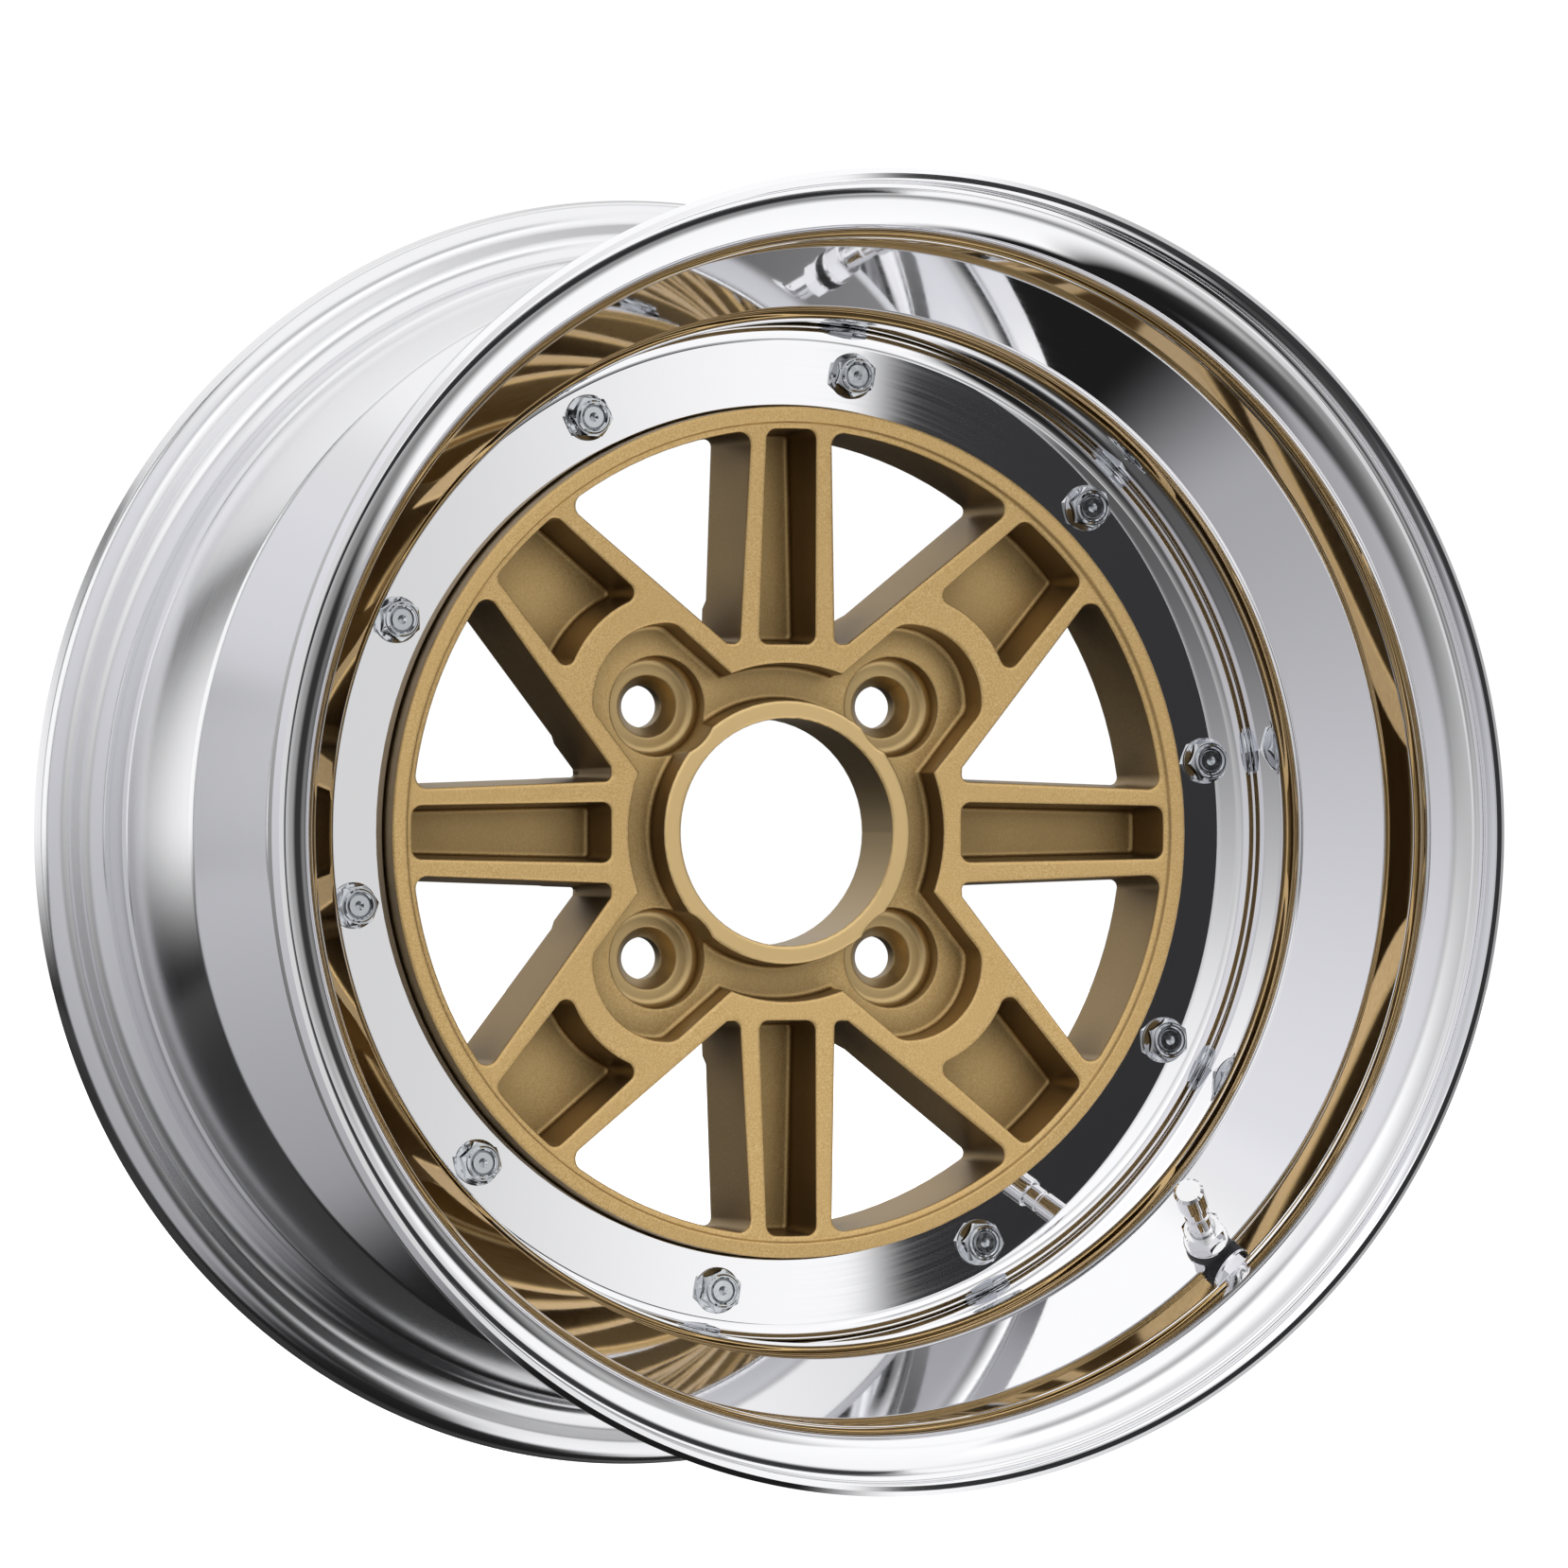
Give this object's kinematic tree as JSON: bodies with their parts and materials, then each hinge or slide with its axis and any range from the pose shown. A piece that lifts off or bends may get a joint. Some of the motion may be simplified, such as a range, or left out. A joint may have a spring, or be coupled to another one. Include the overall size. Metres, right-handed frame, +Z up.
{
  "type": "wheel",
  "caption": "Built-up racing wheel: ribbed gold spoke centre clamped by nuts and bolts between a deep polished lip and a satin inner barrel, with a metal tyre valve.",
  "frame": {"origin": "on the axle line, half way between the two bead faces, which is also the middle of the whole wheel", "axes": "Y is the axle line, -Y towards the street face and +Y towards the hub; +Z up, with a straight spoke on each of X and Z"},
  "size_m": [0.4169, 0.2368, 0.417],
  "materials": {
    "gold_centre": "satin metallic gold paint over a shot-peened forging",
    "polished_lip": "mirror polished",
    "satin_barrel": "satin, finely turned",
    "sealant": "cured silicone",
    "bright_zinc": "bright zinc plate",
    "valve_chrome": "bright nickel-chrome plate",
    "rubber": "black moulded rubber",
    "brass": "turned brass",
    "spring_steel": "drawn wire"
  },
  "bodies": {
    "wheel": {"assembly_bolt_01": "bright_zinc", "assembly_bolt_02": "bright_zinc", "assembly_bolt_03": "bright_zinc", "assembly_bolt_04": "bright_zinc", "assembly_bolt_05": "bright_zinc", "assembly_bolt_06": "bright_zinc", "assembly_bolt_07": "bright_zinc", "assembly_bolt_08": "bright_zinc", "assembly_bolt_09": "bright_zinc", "assembly_bolt_10": "bright_zinc", "assembly_nut_01": "bright_zinc", "assembly_nut_02": "bright_zinc", "assembly_nut_03": "bright_zinc", "assembly_nut_04": "bright_zinc", "assembly_nut_05": "bright_zinc", "assembly_nut_06": "bright_zinc", "assembly_nut_07": "bright_zinc", "assembly_nut_08": "bright_zinc", "assembly_nut_09": "bright_zinc", "assembly_nut_10": "bright_zinc", "bolt_washer_01": "bright_zinc", "bolt_washer_02": "bright_zinc", "bolt_washer_03": "bright_zinc", "bolt_washer_04": "bright_zinc", "bolt_washer_05": "bright_zinc", "bolt_washer_06": "bright_zinc", "bolt_washer_07": "bright_zinc", "bolt_washer_08": "bright_zinc", "bolt_washer_09": "bright_zinc", "bolt_washer_10": "bright_zinc", "centre_disc": "gold_centre", "inner_rim_half": "satin_barrel", "outer_rim_half": "polished_lip", "sealant_bead": "sealant", "valve_core_body": "brass", "valve_core_seal": "rubber", "valve_core_spring": "spring_steel", "valve_nut": "valve_chrome", "valve_seal_street_side": "rubber", "valve_seal_tyre_side": "rubber", "valve_stem": "valve_chrome", "valve_washer": "valve_chrome"},
    "core_pin": {"valve_core_pin": "brass"},
    "cap_carrier": {"valve_cap_gasket": "rubber"},
    "cap": {"valve_cap": "valve_chrome"}
  },
  "joints": [
    {"name": "core_pin_press", "type": "slide", "parent": "wheel", "child": "core_pin", "axis": [0.4955, 0.6969, -0.5185], "range_m": [0, 0.0012], "stiffness_N_per_m": 400, "springref_m": -0.0015, "deforming": ["valve_core_spring"]},
    {"name": "cap_lift", "type": "slide", "parent": "wheel", "child": "cap_carrier", "axis": [-0.4955, -0.6969, 0.5185], "range_m": [0, 0.0066]},
    {"name": "cap_turn", "type": "hinge", "parent": "cap_carrier", "child": "cap", "pos_m": [0.12591, -0.06862, -0.13176], "axis": [-0.4955, -0.6969, 0.5185], "range_deg": [0, 2993]}
  ],
  "couplings": [
    {"joint": "cap_turn", "follows": "cap_lift", "rad_per_m": 7913.3}
  ]
}
